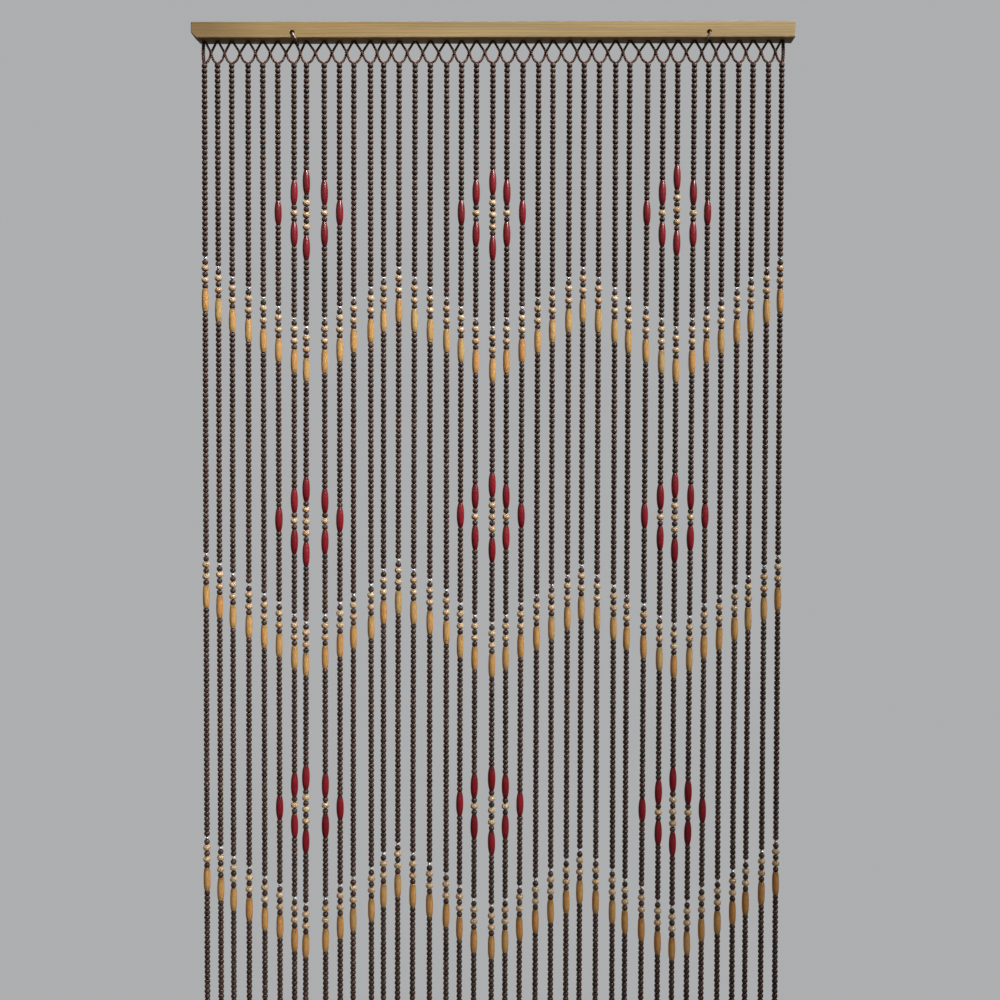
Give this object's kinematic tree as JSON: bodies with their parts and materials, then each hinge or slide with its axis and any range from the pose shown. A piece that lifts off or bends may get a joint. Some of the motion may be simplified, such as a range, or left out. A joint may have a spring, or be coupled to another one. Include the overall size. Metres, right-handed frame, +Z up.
{
  "type": "bead curtain with wooden rail",
  "caption": "Doorway curtain of wooden beads on hanging strings, knotted to a pine rail, with zigzag bands and lozenges of coloured beads.",
  "frame": {"origin": "middle of the rail's back face, which lies on the wall or door frame", "axes": "+Z up, +X along the rail to the right as seen from the front, the curtain's front faces -Y"},
  "size_m": [0.9, 0.0333, 2.0032],
  "materials": {
    "pine": "bare planed pine with fine lengthwise grain",
    "dark_beads": "dark brown stained and varnished turned wood",
    "natural_beads": "pale varnished turned wood",
    "honey_beads": "honey stained and varnished turned wood",
    "red_beads": "crimson lacquered turned wood",
    "clear_beads": "clear bead that reads as white",
    "cord": "dark brown twisted cord",
    "steel_wire": "bright steel wire"
  },
  "bodies": {
    "root": {"rail": "pine", "bead_strings": "dark_beads", "hanging_wire_left": "steel_wire", "hanging_wire_right": "steel_wire"}
  },
  "joints": []
}
